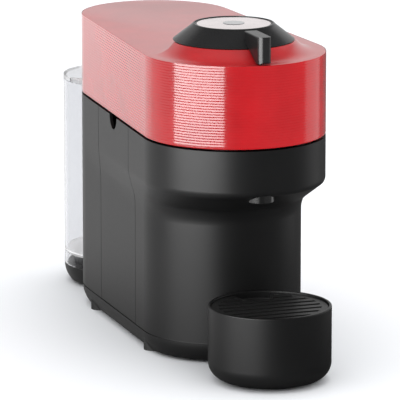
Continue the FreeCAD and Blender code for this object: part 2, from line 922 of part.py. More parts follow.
def brew_head_body():
    """Bell on the chassis that holds the brew plate's bearing and the switch post."""
    low = chassis_z - brew_body_drop + chassis_rise
    inner = brew_body_radius - brew_body_wall
    flange_top = chassis_top_z + brew_body_flange_thick
    bearing_low = brew_top_z - brew_body_wall - head_bearing_height
    seat = head_bearing_radius + brew_body_wall
    return turned([
        (inner, low), (brew_body_radius, low), (brew_body_radius, chassis_top_z),
        (brew_body_flange, chassis_top_z), (brew_body_flange, flange_top), (brew_body_radius, flange_top),
        (brew_body_radius, brew_top_z, brew_body_wall), (switch_post_radius, brew_top_z),
        (switch_post_radius, board_z), (0, board_z), (0, brew_top_z - brew_body_wall),
        (head_bearing_radius, brew_top_z - brew_body_wall), (head_bearing_radius, bearing_low),
        (seat, bearing_low), (seat, brew_top_z - brew_body_wall), (inner, brew_top_z - brew_body_wall),
    ], lever_y)


def head_bearing():
    """Bearing for the brew plate's stem."""
    return bearing(head_bearing_radius, stem_radius, brew_top_z - brew_body_wall - head_bearing_height,
                   head_bearing_height)


def brew_plate():
    """Spinning plate with piercing needles and its stem."""
    stem_top = brew_top_z - brew_body_wall - turning_gap
    plate = disc(plate_radius, plate_z, plate_top_z, lever_y)
    plate = plate.fuse(disc(stem_radius, plate_z, stem_top, lever_y))
    for index in range(needle_count):
        angle = 2 * math.pi * index / needle_count
        x, y = needle_circle * math.cos(angle), lever_y + needle_circle * math.sin(angle)
        needle = turned([(0, plate_z - needle_length), (needle_radius, plate_z + 1), (0, plate_z + 1)], y, x)
        plate = plate.fuse(needle)
    return plate.removeSplitter()


def brew_seal():
    """Ring seal under the brew plate."""
    return ring(seal_outer_radius, seal_inner_radius, plate_z - seal_thick, plate_z, lever_y)


def lever_bush():
    """Plain bush in the collar for the lever's hub."""
    plate_low = collar_top_z - collar_plate
    outer = hub_radius + bush_wall
    bush = ring(outer, hub_radius + running_fit, collar_top_z - bush_length, collar_top_z, lever_y)
    flange = ring(outer + bush_flange, hub_radius + running_fit, plate_low - bush_flange, plate_low, lever_y)
    return join([bush, flange])


def lever_bar():
    """Bar with rounded upper edges and a rounded tip, which the lever is trimmed to."""
    half = lever_width / 2
    low = knob_top_z - 2 * lever_tip_height
    tip = lever_y - lever_tip
    section = rounded_face([
        (-half, low), (half, low), (half, knob_top_z, lever_edge), (-half, knob_top_z, lever_edge),
    ], lambda point: V(point.x, tip, point.y))
    plan = rounded_face([
        (-half, tip, lever_corner), (half, tip, lever_corner), (half, lever_y), (-half, lever_y),
    ], lambda point: V(point.x, point.y, low))
    return section.extrude(V(0, lever_tip, 0)).common(plan.extrude(V(0, 0, knob_top_z - low)))


def lever_ring():
    """Conical ring with its lever and the hub that turns in the bush."""
    inner = guide_radius + turning_gap
    hub_inner = hub_radius - hub_wall
    web_top = knob_z + knob_web
    cone = turned([
        (hub_inner, lock_top_z), (hub_radius, lock_top_z), (hub_radius, knob_z), (knob_radius, knob_z),
        (knob_rim_radius + knob_bevel, knob_top_z - knob_bevel), (knob_rim_radius, knob_top_z),
        (inner, knob_top_z), (inner, web_top), (hub_inner, web_top),
    ], lever_y)
    root_y = lever_y - lever_start
    lever = side_cut([
        (root_y, knob_top_z), (root_y, knob_z),
        (lever_y - lever_root, knob_z), (lever_y - lever_root, knob_top_z - lever_root_height),
        (lever_y - lever_heel, knob_top_z - lever_tip_height, lever_round),
        (lever_y - lever_tip, knob_top_z - lever_tip_height, lever_round),
        (lever_y - lever_tip, knob_top_z, lever_nose),
    ], -lever_width / 2, lever_width / 2)
    return join([cone, lever.common(lever_bar())])


def lock_ring():
    """Bell under the lever's hub with the locking lugs."""
    low = chassis_top_z + turning_gap
    inner = lock_radius - lock_wall
    bell = turned([
        (hub_radius - hub_wall, lock_top_z), (lock_radius, lock_top_z, lock_wall), (lock_radius, low),
        (inner, low), (inner, lock_top_z - lock_plate), (hub_radius - hub_wall, lock_top_z - lock_plate),
    ], lever_y)
    lug = ring(lock_radius + lug_reach, lock_radius - lock_wall / 2, low, low + lug_height, lever_y)
    wedge = Part.makeCylinder(lock_radius + far, lug_height, V(0, lever_y, low), UP, lug_angle)
    lug = lug.common(wedge)
    lugs = []
    for index in range(lug_count):
        copy = lug.copy()
        copy.rotate(V(0, lever_y, 0), UP, 360 / lug_count * index)
        lugs.append(copy)
    return join([bell] + lugs)


def switch_board():
    """Round board with the push switch, on top of the switch post."""
    half = switch_size / 2
    board_top = board_z + board_thick
    switch = block((-half, half), (lever_y - half, lever_y + half), (board_top, board_top + switch_height))
    return join([disc(board_radius, board_z, board_top, lever_y), switch])


def light_guide():
    """Smoked ring round the button, on the tube that guides the button's stem."""
    low = board_z + board_thick
    bore = stem_radius + running_fit
    pocket_top = low + switch_pocket_height
    top = knob_top_z - button_sink
    return turned([
        (bore, pocket_top), (switch_pocket_radius, pocket_top), (switch_pocket_radius, low),
        (guide_tube_radius, low), (guide_tube_radius, guide_z), (guide_radius, guide_z), (guide_radius, top),
        (guide_radius - guide_rim, top), (guide_radius - guide_rim, guide_z + guide_web),
        (bore, guide_z + guide_web),
    ], lever_y)


def button_disc():
    """Round button with a low dome and its stem."""
    radius = guide_radius - guide_rim - turning_gap
    top = knob_top_z - button_sink
    edge = top - button_dome
    stem_low = board_z + board_thick + switch_height + button_travel + slide_gap / 2
    low = edge - button_thick
    crown = V(radius * 0.72, 0, top - button_dome * 0.25)
    dome = Part.Arc(V(radius, 0, edge), crown, V(badge_radius, 0, top))
    corners = [V(badge_radius, 0, top), V(0, 0, top), V(0, 0, stem_low), V(stem_radius, 0, stem_low),
               V(stem_radius, 0, low), V(radius, 0, low), V(radius, 0, edge)]
    edges = [Part.makeLine(a, b) for a, b in zip(corners, corners[1:])] + [dome.toShape()]
    button = Part.Face(Part.Wire(edges)).revolve(V(0, 0, 0), UP, 360)
    button.translate(V(0, lever_y, 0))
    return button


def button_badge():
    """Plain polished boss at the middle of the button."""
    low = knob_top_z - button_sink
    rise = badge_thick / 2
    return turned([(0, low), (badge_radius, low), (badge_radius - rise, low + badge_thick, rise),
                   (0, low + badge_thick)], lever_y)


def button_spring():
    """Spring that lifts the button, as a plain sleeve."""
    low = guide_z + guide_web + running_fit
    high = knob_top_z - button_sink - button_dome - button_thick - running_fit
    return ring(spring_radius + spring_wire, spring_radius - spring_wire, low, high, lever_y)


def capsule_bin():
    """Drawer for used capsules, with a finger notch in each side."""
    low = housing_z + slide_gap
    front, rear = front_seam_y + panel_gap / 2, rear_seam_y - panel_gap / 2
    drawer = body_form(0, low, body_top_z).common(slab(front, rear))
    room = body_form(bin_wall, low + bin_wall, body_top_z + 1, throat_lift)
    drawer = drawer.cut(room.common(slab(front + bin_wall, rear - bin_wall)))
    return drawer.cut(rod(notch_radius, -far, far, (front + rear) / 2, body_top_z)).removeSplitter()


def water_tank():
    """Clear tank with a floor and a skirt round the pedestal."""
    tank = prism(crescent(0, tank_z), tank_height)
    tank = tank.cut(prism(crescent(tank_wall, tank_room_z), tank_top_z - tank_room_z + 1))
    tank = tank.cut(prism(crescent(tank_wall, tank_z - 1), tank_floor_z - tank_z + 1))
    return tank.cut(disc(valve_radius, tank_floor_z - 1, tank_room_z + 1, valve_y))


def lid_sheet(low, front, rear):
    """Sheet of the tank's outline between two places along it."""
    return prism(crescent(0, low), tank_top_z + lid_thick - low).common(slab(front, rear))


def lid_ear_inner():
    """Distance from the middle to the inner face of a lid ear."""
    return math.sqrt(tank_radius ** 2 - lid_hinge_forward ** 2) - lid_ear


def lid_axis_z():
    """Height of the lid's hinge axis."""
    return tank_top_z + slide_gap + (lid_thick - slide_gap) / 2


def tank_bridge():
    """Fixed front strip of the lid, with an ear at each end for the lid's pins."""
    edge = lid_hinge_y - lid_thick / 2 - slide_gap
    strip = lid_sheet(tank_top_z, lid_hinge_y - far, edge)
    inner = lid_ear_inner()
    ears = lid_sheet(tank_top_z + slide_gap, edge - 1, lid_hinge_y + lid_ear_rear)
    ears = ears.cut(block((-inner, inner), (edge - far, edge + far), (0, far)))
    bridge = join([strip] + ears.Solids)
    return bridge.cut(rod(lid_pin_radius, -far, far, lid_hinge_y, lid_axis_z()))


def lid_pins():
    """Two short pins that the lid turns on."""
    inner = lid_ear_inner()
    outer = inner + lid_ear - plate_fit
    pin = rod(lid_pin_radius, inner - lid_pin_depth, outer, lid_hinge_y, lid_axis_z())
    return Part.Compound(mirrored(pin))


def tank_lid():
    """Clear flap with a rounded hinge edge."""
    low = tank_top_z + slide_gap
    radius = (lid_thick - slide_gap) / 2
    inner = lid_ear_inner() - slide_gap
    flap = lid_sheet(low, lid_hinge_y, lid_hinge_y + far)
    for side in (-1, 1):
        x = sorted((side * inner, side * far))
        flap = flap.cut(block(x, (lid_hinge_y - far, lid_hinge_y + lid_notch), (0, far)))
    lid = flap.fuse(rod(radius, -inner, inner, lid_hinge_y, lid_axis_z())).removeSplitter()
    for side in (-1, 1):
        x = sorted((side * (inner - lid_pin_depth), side * far))
        lid = lid.cut(rod(lid_pin_radius + running_fit, x[0], x[1], lid_hinge_y, lid_axis_z()))
    return lid


def tank_valve():
    """Valve in the tank's floor that reaches down into the socket."""
    low = tank_floor_z - valve_reach
    groove = valve_radius - seal_groove
    return turned([
        (0, low), (valve_radius, low), (valve_radius, low + seal_height), (groove, low + seal_height),
        (groove, low + 2 * seal_height), (valve_radius, low + 2 * seal_height),
        (valve_radius, tank_room_z), (valve_flange, tank_room_z),
        (valve_flange, tank_room_z + valve_flange_thick, valve_flange_thick / 2),
        (0, tank_room_z + valve_flange_thick),
    ], valve_y)


def valve_seal():
    """Ring seal in the valve's groove."""
    low = tank_floor_z - valve_reach + seal_height
    return ring(valve_radius, valve_radius - seal_groove, low, low + seal_height, valve_y)


def inlet_socket():
    """Socket in the pedestal that takes the tank's valve, with a side spigot for the hose."""
    bore = valve_radius + slide_gap
    outer = bore + socket_wall
    top = pedestal_top_z
    floor_z = top - socket_depth
    low = hose_z - spigot_radius
    under = top - base_wall
    socket = turned([
        (0, low), (outer, low), (outer, under - socket_floor),
        (outer + socket_flange, under - socket_floor), (outer + socket_flange, under),
        (outer, under), (outer, top), (bore, top), (bore, floor_z), (0, floor_z),
    ], valve_y)
    spigot = Part.makeCylinder(spigot_radius, spigot_reach, V(0, valve_y, hose_z), V(0, -1, 0))
    return join([socket, spigot])


def tank_hose():
    """Hose from the socket under the deck and up to the flow meter."""
    points = [V(0, valve_y - spigot_reach, hose_z), V(0, meter_y, hose_z), V(0, meter_y, housing_z)]
    return hose(points, hose_bend)


def flow_meter():
    """Round flow meter on the deck."""
    top = housing_z + meter_height
    return turned([(0, housing_z), (meter_radius, housing_z), (meter_radius, top, meter_cap),
                   (spigot_radius + meter_cap, top), (spigot_radius + meter_cap, top + meter_cap),
                   (0, top + meter_cap)], meter_y)


def pump_hose():
    """Hose from the flow meter to the pump's inlet."""
    start = housing_z + meter_height + meter_cap
    level = start + wide_bend + hose_radius
    points = [V(0, meter_y, start), V(0, meter_y, level), V(-pump_x, meter_y, level),
              V(-pump_x, pump_y, level), V(-pump_x, pump_y, pump_z)]
    return hose(points, wide_bend)


def pump_levels():
    """Heights along the pump, from its inlet to its outlet."""
    steps = (pump_spigot, pump_tube_length, pump_coil_height, pump_tube_length, pump_spigot)
    levels = [pump_z]
    for step in steps:
        levels.append(levels[-1] + step)
    return levels


def pump():
    """Upright vibration pump: square coil on a round tube."""
    inlet, tube, coil, coil_top, tube_top, outlet = pump_levels()
    half = pump_coil / 2
    x = -pump_x
    return join([
        disc(spigot_radius, inlet, outlet, pump_y, x), disc(pump_tube_radius, tube, tube_top, pump_y, x),
        block((x - half, x + half), (pump_y - half, pump_y + half), (coil, coil_top))])


def pump_mount_lower():
    """Rubber collar on two legs under the pump."""
    tube = pump_levels()[1]
    low = tube + (pump_tube_length - mount_height) / 2
    x = -pump_x
    collar = disc(mount_radius, low, low + mount_height, pump_y, x)
    legs = []
    for side in (-1, 1):
        middle = x + side * (mount_radius - mount_leg / 2)
        wide = (middle - mount_leg / 2, middle + mount_leg / 2)
        legs.append(block(wide, (pump_y - mount_leg, pump_y + mount_leg), (housing_z, low + mount_height)))
    return join([collar] + legs).cut(disc(pump_tube_radius, low - 1, low + mount_height + 1, pump_y, x))


def pump_mount_upper():
    """Rubber collar that holds the pump's top to the housing's front wall."""
    tube_low, tube_top = pump_levels()[3:5]
    low = (tube_low + tube_top - mount_height) / 2
    x = -pump_x
    collar = disc(mount_radius, low, low + mount_height, pump_y, x)
    arm = block((x - mount_leg, x + mount_leg), (rear_room_y, pump_y), (low, low + mount_height))
    return join([collar, arm]).cut(disc(pump_tube_radius, low - 1, low + mount_height + 1, pump_y, x))


def heater():
    """Cast heater block with side fins and two spigots."""
    low, top = housing_z, housing_z + heater_height
    half_x, half_y = heater_width / 2, heater_depth / 2
    core = block((pump_x - half_x, pump_x + half_x), (pump_y - half_y, pump_y + half_y), (low, top))
    pitch = heater_height / heater_fins
    for index in range(heater_fins):
        z = low + pitch * (index + 0.5)
        groove = block((pump_x + half_x - heater_fin, pump_x + half_x + 1),
                       (pump_y - half_y - 1, pump_y + half_y + 1), (z - pitch / 4, z + pitch / 4))
        core = core.cut(groove)
    spigots = [disc(spigot_radius, top, top + 2 * spigot_radius, pump_y + offset, pump_x)
               for offset in (0, half_y - 2 * spigot_radius)]
    return join([core] + spigots)


def heater_hose():
    """Hose that arches from the pump's outlet to the heater."""
    start = pump_levels()[-1]
    arch = start + hose_arch
    heater_top = housing_z + heater_height + 2 * spigot_radius
    points = [V(-pump_x, pump_y, start), V(-pump_x, pump_y, arch), V(pump_x, pump_y, arch),
              V(pump_x, pump_y, heater_top)]
    return hose(points, wide_bend)


def control_board():
    """Board on standoffs from the housing's front wall, with its larger components."""
    low = housing_z + board_low
    left = -capacitor_radius
    face = rear_room_y + board_standoff
    rear = face + board_thick
    pieces = [block((left, left + board_width), (face, rear), (low, low + board_tall))]
    for x in (left + standoff_inset, left + board_width - standoff_inset):
        for z in (low + standoff_inset, low + board_tall - standoff_inset):
            foot = V(x, rear_room_y, z)
            pieces.append(Part.makeCylinder(standoff_radius, board_standoff, foot, V(0, 1, 0)))
    middle = left + board_width / 2
    pieces.append(block((middle, middle + coil_box), (rear, rear + coil_box),
                        (low + standoff_inset, low + standoff_inset + coil_box)))
    for index in range(2):
        place = V(left + standoff_inset + capacitor_radius * (1 + 3 * index), rear, low + board_tall / 2)
        pieces.append(Part.makeCylinder(capacitor_radius, capacitor_height, place, V(0, 1, 0)))
    return join(pieces)


def cup_profile(inset, low, top, wall):
    """Round-bottomed cup between two heights, drawn in by inset."""
    outer, inner = cup_radius - inset, cup_radius - inset - wall
    bend = cup_round - inset
    return [
        (0, low), (outer, low, bend), (outer, top, min(cup_lip, wall * 0.4)),
        (inner, top, min(cup_lip, wall * 0.4)), (inner, low + wall, bend - wall), (0, low + wall)]


def cup_shell():
    """Cup support with the tongue that docks it in the base."""
    cup = turned(cup_profile(0, cup_lift, cup_top_z, cup_wall), cup_y)
    outside = disc(cup_radius - cup_round, cup_lift, cup_top_z, cup_y)
    inside, floor_z = cup_radius - cup_wall, cup_lift + cup_wall
    inner = turned([
        (0, floor_z), (inside, floor_z, cup_round - cup_wall), (inside, cup_top_z), (0, cup_top_z),
    ], cup_y)
    return cup.fuse(tongue(0).cut(inner).cut(outside)).removeSplitter()


def cup_ring():
    """Rubber ring that the cup support stands on."""
    return ring(cup_ring_outer, cup_ring_inner, 0, cup_lift, cup_y)


def tray_top():
    """Height of the drip tray's rim."""
    return grid_top_z - grid_thick - slide_gap


def drip_tray():
    """Liner that catches drips inside the cup support."""
    low = cup_lift + cup_wall + slide_gap
    return turned(cup_profile(cup_wall + slide_gap, low, tray_top(), tray_wall), cup_y)


def lift_notch(margin, low, top):
    """Fan-shaped finger notch in the grid's rear edge, grown by a margin."""
    front, rear = cup_y + lift_front - margin, cup_y + cup_radius
    near, wide = lift_front_half + margin, lift_rear_half + margin
    corners = [V(-near, front, low), V(near, front, low), V(wide, rear, low), V(-wide, rear, low)]
    return prism(Part.makePolygon(corners + corners[:1]), top - low)


def drip_grid():
    """Slotted grid on the tray's rim, with a finger notch to lift it by."""
    radius = cup_radius - cup_wall - slide_gap
    low, top = grid_top_z - grid_thick, grid_top_z
    grid = disc(radius, low, top, cup_y)
    slotted = disc(slot_end_radius, low, top, cup_y).cut(lift_notch(lift_margin, low, top))
    for index in range(slot_count):
        y = cup_y + slot_pitch * (index - (slot_count - 1) / 2)
        slot = block((-far, far), (y - slot_width / 2, y + slot_width / 2), (low, top))
        grid = grid.cut(slot.common(slotted))
    return grid.cut(lift_notch(0, low, top)).removeSplitter()


def all_parts():
    """Every piece by its name."""
    lower_bearing = bearing(bearing_radius, shaft_radius, motor_low_z, bearing_height)
    upper_bearing = bearing(bearing_radius, shaft_radius, bracket_top_z - bearing_height, bearing_height)
    makers = [
        base_pan, base_deck, base_screws, cord_gland, front_housing, rear_housing, brew_deck, rear_deck,
        coffee_collector, coffee_spout, capsule_holder, drive_shaft, motor_bracket, motor_can, motor_rotor,
        head_shell, head_chassis, chassis_screws, hinge_pin, hinge_bracket, brew_head_body, head_bearing,
        brew_plate, brew_seal, lever_bush, lever_ring, lock_ring, switch_board, light_guide, button_disc,
        button_badge, button_spring, capsule_bin, water_tank, tank_bridge, lid_pins, tank_lid, tank_valve,
        valve_seal, inlet_socket, tank_hose, flow_meter, pump_hose, pump, pump_mount_lower, pump_mount_upper,
        heater, heater_hose, control_board, cup_shell, cup_ring, drip_tray, drip_grid]
    parts = {maker.__name__: maker() for maker in makers}
    parts.update(feet())
    parts.update(lower_bearing=lower_bearing, upper_bearing=upper_bearing)
    return parts


os.makedirs("parts", exist_ok=True)
for node, shape in all_parts().items():
    shape.exportStep("parts/%s.step" % node)
    print(node, len(shape.Solids), shape.isValid(), round(shape.Volume, 1))
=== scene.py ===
import json
import math
import bmesh
import bpy
from mathutils import Matrix, Vector

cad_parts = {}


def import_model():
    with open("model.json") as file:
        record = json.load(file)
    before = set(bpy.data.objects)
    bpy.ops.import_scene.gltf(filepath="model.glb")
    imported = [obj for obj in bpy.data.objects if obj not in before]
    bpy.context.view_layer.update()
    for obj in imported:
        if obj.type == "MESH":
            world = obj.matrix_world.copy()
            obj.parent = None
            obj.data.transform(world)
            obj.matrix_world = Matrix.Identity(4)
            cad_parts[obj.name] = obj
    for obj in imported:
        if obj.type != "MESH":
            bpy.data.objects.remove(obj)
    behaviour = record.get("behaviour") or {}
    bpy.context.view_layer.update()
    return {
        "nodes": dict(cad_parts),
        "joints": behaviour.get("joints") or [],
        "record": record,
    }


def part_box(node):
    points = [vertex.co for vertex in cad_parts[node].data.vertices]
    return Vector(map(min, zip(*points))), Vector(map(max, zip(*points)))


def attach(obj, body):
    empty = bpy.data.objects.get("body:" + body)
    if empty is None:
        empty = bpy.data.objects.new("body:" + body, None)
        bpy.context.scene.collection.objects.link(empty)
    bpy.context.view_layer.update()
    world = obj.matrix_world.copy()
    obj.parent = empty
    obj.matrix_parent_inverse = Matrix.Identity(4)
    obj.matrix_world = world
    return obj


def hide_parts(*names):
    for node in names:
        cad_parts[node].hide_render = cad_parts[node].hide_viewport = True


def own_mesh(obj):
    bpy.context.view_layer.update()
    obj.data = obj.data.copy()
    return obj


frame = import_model()
nodes = frame["nodes"]
pivots = {joint["name"]: joint["pos_m"] for joint in frame["joints"] if "pos_m" in joint}
head_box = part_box("head_shell")

# Sizes of the head in metres, as in the solids
LEVER_Y = pivots["lever_turn"][1]
HINGE_Y, HINGE_Z = pivots["head_hinge"][1:]
HEAD_SPAN = 0.1752
FRONT_RADIUS = 0.068
REAR_RADIUS = 0.0577
HEAD_LOW = head_box[0][2]
COLLAR_TOP = head_box[1][2]
COLLAR_HEIGHT = 0.0082
COLLAR_RADIUS = 0.0456
COLLAR_LEAN = 0.0074
COLLAR_ROUND = 0.02
HEAD_TOP = COLLAR_TOP - COLLAR_HEIGHT
WALL = 0.0026
LIP = 0.004
BUSH_RADIUS = 0.0225
TOP_ROUND = 0.0003
LOW_ROUND = 0.0011
RIM_HEIGHT = 0.0014
RIB_LOW = HEAD_LOW + RIM_HEIGHT
RIB_COUNT = 30
RIB_PITCH = (HEAD_TOP - RIB_LOW) / RIB_COUNT
RIB_BULGE = 0.00009
RIB_DEPTH = 0.0003
SLOT_HALF = 0.01025
SLOT_RISE = 0.008
ROUND_STEPS = 80
COLLAR_STEPS = 12
LOW_STEPS = 8
TOP_STEPS = 4
RIB_POINTS = 7
SHARP_ANGLE = 40

# Sizes of the button's spring, in metres
SPRING_WIRE = 0.0004
SPRING_TURNS = 5.0
SPRING_STEPS = 32
WIRE_SIDES = 8


# Materials

NOISE_LOW = 0.3
NOISE_HIGH = 0.7
NOISE_DETAIL = 3.0
NOISE_ROUGHNESS = 0.5
BROAD_SCALE = 40.0
TONE_SHIFT = 0.08
SMOOTHEST = 0.02
CLEAR_IOR = 1.2
FLOW_SCALE = 30.0
FLOW_STRETCH = (1, 1, 0.2)
FLOW_SPREAD = 0.4
FLOW_RELIEF = 0.04
FLOW_DEPTH = 0.0002
MILK_LOW = 0.0112
MILK_HIGH = 0.0117
MILK_EDGE = 0.0003


def new_material(name):
    """Empty material with its node tree and shader."""
    material = bpy.data.materials.new(name)
    material.use_nodes = True
    shader = material.node_tree.nodes["Principled BSDF"]
    return material, material.node_tree, shader


def texture(tree, scale, stretch=(1, 1, 1)):
    """Noise in the object's own metres, stretched along its axes."""
    place = tree.nodes.new("ShaderNodeTexCoord")
    noise = tree.nodes.new("ShaderNodeTexNoise")
    noise.inputs["Scale"].default_value = scale
    noise.inputs["Detail"].default_value = NOISE_DETAIL
    noise.inputs["Roughness"].default_value = NOISE_ROUGHNESS
    mapping = tree.nodes.new("ShaderNodeMapping")
    mapping.inputs["Scale"].default_value = stretch
    tree.links.new(place.outputs["Object"], mapping.inputs["Vector"])
    tree.links.new(mapping.outputs["Vector"], noise.inputs["Vector"])
    return noise


def spread(tree, source, low, high, start=NOISE_LOW, end=NOISE_HIGH):
    """Maps a range of a source, such as a texture's middle, to a range of values."""
    node = tree.nodes.new("ShaderNodeMapRange")
    node.inputs["From Min"].default_value = start
    node.inputs["From Max"].default_value = end
    node.inputs["To Min"].default_value = low
    node.inputs["To Max"].default_value = high
    tree.links.new(source, node.inputs["Value"])
    return node.outputs["Result"]


def shade(tree, source, dark, light):
    """Mixes two near colours by a texture."""
    ramp = tree.nodes.new("ShaderNodeValToRGB")
    ramp.color_ramp.elements[0].position = NOISE_LOW
    ramp.color_ramp.elements[1].position = NOISE_HIGH
    ramp.color_ramp.elements[0].color = (*dark, 1)
    ramp.color_ramp.elements[1].color = (*light, 1)
    tree.links.new(source, ramp.inputs["Fac"])
    return ramp.outputs["Color"]


def larger(tree, first, second):
    """The larger of two values."""
    node = tree.nodes.new("ShaderNodeMath")
    node.operation = "MAXIMUM"
    tree.links.new(first, node.inputs[0])
    tree.links.new(second, node.inputs[1])
    return node.outputs["Value"]


def along_axis(tree, axis):
    """Place along one of the object's own axes."""
    place = tree.nodes.new("ShaderNodeTexCoord")
    split = tree.nodes.new("ShaderNodeSeparateXYZ")
    tree.links.new(place.outputs["Object"], split.inputs["Vector"])
    return split.outputs[axis]


def bump(tree, source, shader, strength, distance):
    """Fine relief from a texture."""
    node = tree.nodes.new("ShaderNodeBump")
    node.inputs["Strength"].default_value = strength
    node.inputs["Distance"].default_value = distance
    tree.links.new(source, node.inputs["Height"])
    tree.links.new(node.outputs["Normal"], shader.inputs["Normal"])


def surface(name, colour, rough, spread_by=0.06, grain=1200.0, relief=0.1, depth=0.00004,
            metal=0.0, coat=0.0, coat_rough=0.06, level=0.5, tint=(1, 1, 1)):
    """Plastic, rubber or metal with a fine grain in its colour, gloss and relief."""
    material, tree, shader = new_material(name)
    shader.inputs["Metallic"].default_value = metal
    shader.inputs["Coat Weight"].default_value = coat
    shader.inputs["Coat Roughness"].default_value = coat_rough
    shader.inputs["Specular IOR Level"].default_value = level
    shader.inputs["Specular Tint"].default_value = (*tint, 1)
    broad = texture(tree, BROAD_SCALE)
    fine = texture(tree, grain)
    dark = [part * (1 - TONE_SHIFT) for part in colour]
    light = [min(part * (1 + TONE_SHIFT), 1.0) for part in colour]
    tree.links.new(shade(tree, broad.outputs["Fac"], dark, light), shader.inputs["Base Color"])
    low, high = max(rough - spread_by, SMOOTHEST), min(rough + spread_by, 1.0)
    tree.links.new(spread(tree, fine.outputs["Fac"], low, high), shader.inputs["Roughness"])
    bump(tree, fine.outputs["Fac"], shader, relief, depth)
    return material


def clear_plastic(name, tint, rough, clear=1.0):
    """Clear or milky plastic with faint flow marks."""
    material, tree, shader = new_material(name)
    shader.inputs["Transmission Weight"].default_value = clear
    shader.inputs["IOR"].default_value = CLEAR_IOR
    shader.inputs["Base Color"].default_value = (*tint, 1)
    flow = texture(tree, FLOW_SCALE, FLOW_STRETCH)
    low, high = rough * (1 - FLOW_SPREAD), rough * (1 + FLOW_SPREAD)
    tree.links.new(spread(tree, flow.outputs["Fac"], low, high), shader.inputs["Roughness"])
    bump(tree, flow.outputs["Fac"], shader, FLOW_RELIEF, FLOW_DEPTH)
    return material


def milky_floor(material, low, high, clear, painted_glow):
    """Makes a clear piece milky between two heights, with a painted glow there that stands in for the light
    its walls let through.
    """
    tree = material.node_tree
    shader = tree.nodes["Principled BSDF"]
    under = spread(tree, along_axis(tree, "Z"), 1.0, clear, low - MILK_EDGE, low)
    over = spread(tree, along_axis(tree, "Z"), clear, 1.0, high, high + MILK_EDGE)
    share = larger(tree, under, over)
    tree.links.new(share, shader.inputs["Transmission Weight"])
    # Painted glow: emission on the milky part in place of the light that comes in through the walls
    tree.links.new(spread(tree, share, painted_glow, 0.0, clear, 1.0), shader.inputs["Emission Strength"])
    shader.inputs["Emission Color"].default_value = (1, 1, 1, 1)


RED = surface(
    "red_gloss", (0.57, 0.011, 0.016), rough=0.16, spread_by=0.03, grain=900.0, relief=0.03, depth=0.00002,
    coat=0.8, coat_rough=0.09, level=0.45, tint=(0.4, 1, 1))
# Satin red for the flat top and collar: the satin gloss is the finish, and its colour, a shade darker than
# the gloss red, is painted shade on the top
RED_SATIN_PAINTED_SHADE = surface(
    "red_satin_painted_shade", (0.5, 0.009, 0.013), rough=0.34, spread_by=0.03, grain=900.0, relief=0.03, depth=0.00002,
    coat=1.0, coat_rough=0.3)
CHARCOAL = surface(
    "charcoal", (0.0085, 0.0085, 0.0087), rough=0.4, grain=2600.0, relief=0.22, depth=0.00005, level=0.36)
BLACK = surface("deck_black", (0.014, 0.014, 0.014), rough=0.45, grain=2000.0, relief=0.15)
KNOB = surface(
    "knob_black", (0.018, 0.018, 0.0185), rough=0.3, spread_by=0.04, grain=1800.0, relief=0.08, depth=0.00003,
    level=0.52)
SPOUT = surface(
    "spout_black", (0.012, 0.012, 0.012), rough=0.14, spread_by=0.03, relief=0.04, depth=0.00002, coat=0.5)
GREY = surface("lock_grey", (0.2, 0.2, 0.21), rough=0.45)
# Silver button; its pink tint is a painted reflection of the red head around it
BUTTON_PAINTED_PINK = surface(
    "button_silver", (0.86, 0.78, 0.78), rough=0.16, spread_by=0.03, grain=900.0, relief=0.02, depth=0.00001,
    metal=0.7)
BADGE = surface(
    "badge_polish", (0.54, 0.54, 0.55), rough=0.16, spread_by=0.04, grain=1500.0, relief=0.03, depth=0.00001,
    metal=0.8)
GUIDE = surface("guide_smoke", (0.02, 0.02, 0.021), rough=0.2, spread_by=0.03)
RUBBER = surface("rubber_black", (0.012, 0.012, 0.012), rough=0.75, spread_by=0.08, grain=1800.0, relief=0.2)
HOSE = surface("hose_pale", (0.62, 0.62, 0.58), rough=0.4)
STEEL = surface("steel", (0.55, 0.55, 0.56), rough=0.3, grain=900.0, relief=0.05, metal=1.0)
ALLOY = surface(
    "heater_alloy", (0.55, 0.56, 0.57), rough=0.5, spread_by=0.08, grain=700.0, relief=0.2, metal=1.0)
BOARD = surface("board_green", (0.02, 0.12, 0.06), rough=0.4)
CLEAR = clear_plastic("tank_clear", (0.8, 0.8, 0.81), rough=0.03)
FROST = clear_plastic("tank_frost", (0.8, 0.81, 0.82), rough=0.3, clear=0.4)
tank_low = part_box("water_tank")[0][2]
# The tank's milky floor, with a painted glow on it
milky_floor(CLEAR, tank_low + MILK_LOW, tank_low + MILK_HIGH, clear=0.25, painted_glow=0.3)

LOOKS = {
    "red_gloss": RED, "charcoal": CHARCOAL, "deck_black": BLACK, "knob_black": KNOB, "lock_grey": GREY,
    "button_silver": BUTTON_PAINTED_PINK, "badge_polish": BADGE, "guide_smoke": GUIDE, "tank_clear": CLEAR,
    "tank_frost": FROST, "rubber_black": RUBBER, "hose_clear": HOSE, "steel": STEEL,
    "heater_alloy": ALLOY, "board_green": BOARD}
for part in frame["record"]["subparts"]:
    node = nodes[part["node"]]
    for place in node.material_slots:
        place.link = "OBJECT"
        place.material = LOOKS[part["material_slot"]]
for name, look in (("coffee_spout", SPOUT), ("tank_valve", FROST)):
    for place in nodes[name].material_slots:
        place.material = look


# Pieces

def head_outline(inset, z, steps=ROUND_STEPS):
    """Points round the head: two arcs joined by straight sides, drawn in by inset."""
    lean = math.asin((FRONT_RADIUS - REAR_RADIUS) / HEAD_SPAN)
    points = []
    for y, radius, start, end in (
            (LEVER_Y + HEAD_SPAN, REAR_RADIUS - inset, lean, math.pi - lean),
            (LEVER_Y, FRONT_RADIUS - inset, math.pi - lean, 2 * math.pi + lean)):
        for step in range(steps + 1):
            angle = start + (end - start) * step / steps
            points.append(Vector((radius * math.cos(angle), y + radius * math.sin(angle), z)))
    return points


def link(mesh, name):
    """New object in the scene."""
    piece = bpy.data.objects.new(name, mesh)
    bpy.context.scene.collection.objects.link(piece)
    return piece


